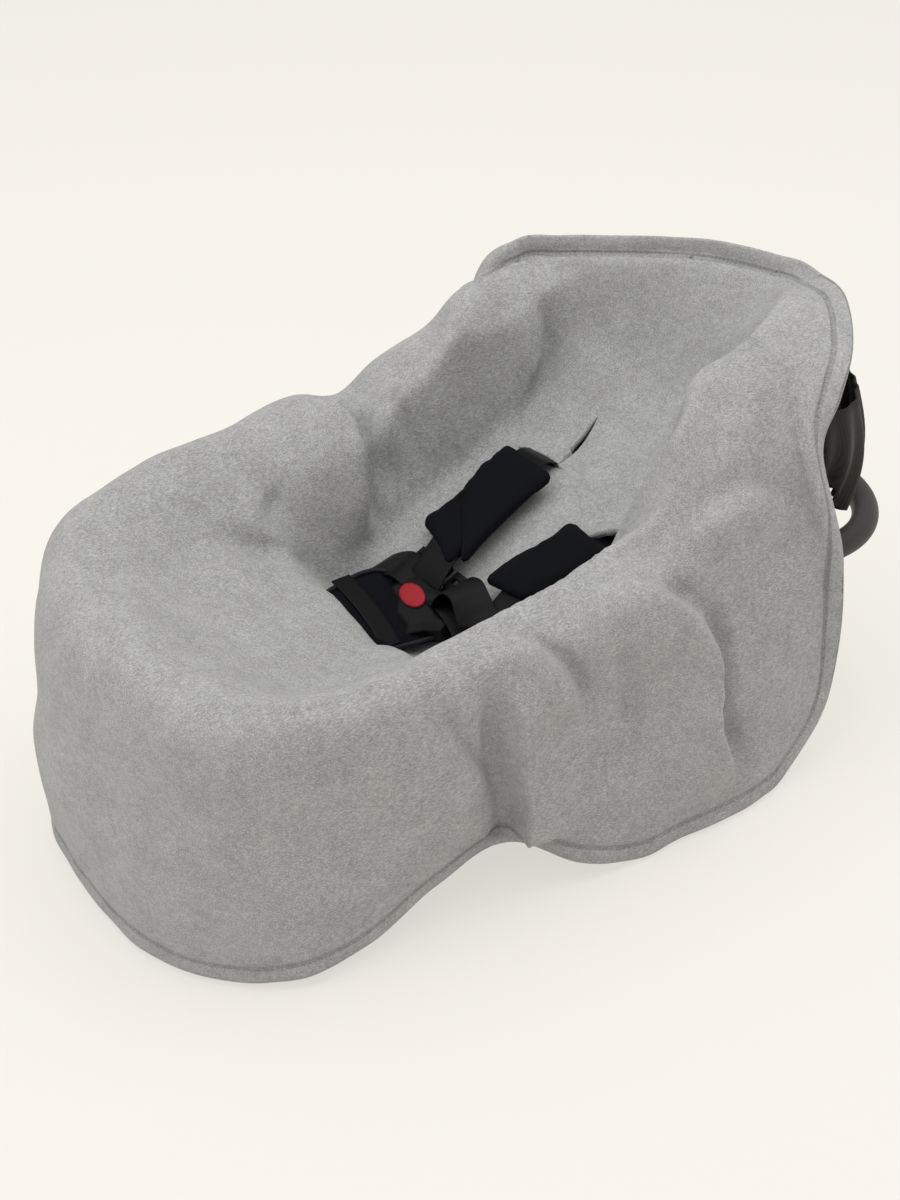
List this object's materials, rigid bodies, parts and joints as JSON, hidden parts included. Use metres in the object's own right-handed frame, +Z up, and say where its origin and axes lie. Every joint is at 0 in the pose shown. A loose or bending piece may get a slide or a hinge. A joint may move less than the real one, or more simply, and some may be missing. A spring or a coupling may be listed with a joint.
{
  "type": "infant car seat",
  "caption": "Rear-facing infant car seat with a carry handle folded back, a five-point harness and a thick wrap blanket draped over shell and seat.",
  "frame": {"origin": "on the floor, in the middle of the part's footprint", "axes": "+X to the child's left, +Y towards the head end, +Z up"},
  "size_m": [0.501, 0.8166, 0.405],
  "materials": {
    "blanket_fleece": "brushed fleece",
    "shell_plastic": "fine grain",
    "foam": "expanded foam",
    "black_fabric": "woven",
    "webbing": "tight weave, slight sheen",
    "steel": "zinc plated",
    "red_plastic": "smooth",
    "buckle_plastic": "fine grain",
    "rubber": "matte",
    "handle_plastic": "fine grain"
  },
  "bodies": {
    "seat": {"adjuster_housing": "shell_plastic", "adjuster_pin": "steel", "adjuster_spring": "steel", "adjuster_strap": "webbing", "belt_guide_left": "shell_plastic", "belt_guide_right": "shell_plastic", "blanket_flap_left": "blanket_fleece", "blanket_flap_right": "blanket_fleece", "blanket_foot": "blanket_fleece", "blanket_hood": "blanket_fleece", "blanket_seat": "blanket_fleece", "buckle_body": "buckle_plastic", "buckle_spring": "steel", "buckle_tongue_left": "buckle_plastic", "buckle_tongue_right": "buckle_plastic", "cover_hem": "black_fabric", "crotch_anchor_plate": "steel", "crotch_pad": "black_fabric", "crotch_strap": "webbing", "foam_liner": "foam", "front_anchor_bar": "steel", "pivot_pin_left": "steel", "pivot_pin_right": "steel", "rear_anchor_bar": "steel", "rubber_feet": "rubber", "seat_cover": "black_fabric", "seat_shell": "shell_plastic", "shoulder_pad_left": "black_fabric", "shoulder_pad_right": "black_fabric", "shoulder_strap_left": "webbing", "shoulder_strap_right": "webbing", "skid_left": "shell_plastic", "skid_right": "shell_plastic", "skid_screws": "steel", "splitter_plate": "steel", "waist_anchor_left": "steel", "waist_anchor_right": "steel", "waist_strap_left": "webbing", "waist_strap_right": "webbing"},
    "handle": {"handle_bar": "handle_plastic", "handle_grip": "rubber", "hub_left": "handle_plastic", "hub_right": "handle_plastic", "hub_cap_left": "handle_plastic", "hub_cap_right": "handle_plastic", "release_spring_left": "steel", "release_spring_right": "steel"},
    "left_release": {"release_button_left": "handle_plastic"},
    "right_release": {"release_button_right": "handle_plastic"},
    "harness_button": {"buckle_button": "red_plastic"},
    "harness_lever": {"adjuster_lever": "shell_plastic"}
  },
  "joints": [
    {"name": "handle_fold", "type": "hinge", "parent": "seat", "child": "handle", "pos_m": [0, 0.0173, 0.25], "axis": [1, 0, 0], "range_deg": [0, 96], "deforming": ["blanket_flap_left", "blanket_flap_right"]},
    {"name": "left_button_press", "type": "slide", "parent": "handle", "child": "left_release", "axis": [-1, 0, 0], "range_m": [0, 0.004], "stiffness_N_per_m": 1500, "springref_m": -0.002, "deforming": ["release_spring_left"]},
    {"name": "right_button_press", "type": "slide", "parent": "handle", "child": "right_release", "axis": [1, 0, 0], "range_m": [0, 0.004], "stiffness_N_per_m": 1500, "springref_m": -0.002, "deforming": ["release_spring_right"]},
    {"name": "buckle_press", "type": "slide", "parent": "seat", "child": "harness_button", "axis": [0, 0.4226, -0.9063], "range_m": [0, 0.003], "stiffness_N_per_m": 1500, "springref_m": -0.002, "deforming": ["buckle_spring"]},
    {"name": "adjuster_press", "type": "hinge", "parent": "seat", "child": "harness_lever", "pos_m": [0, -0.2535, 0.2281], "axis": [-1, 0, 0], "range_deg": [0, 11], "stiffness_Nm_per_rad": 0.6, "springref_deg": -5.73, "deforming": ["adjuster_spring"]}
  ]
}
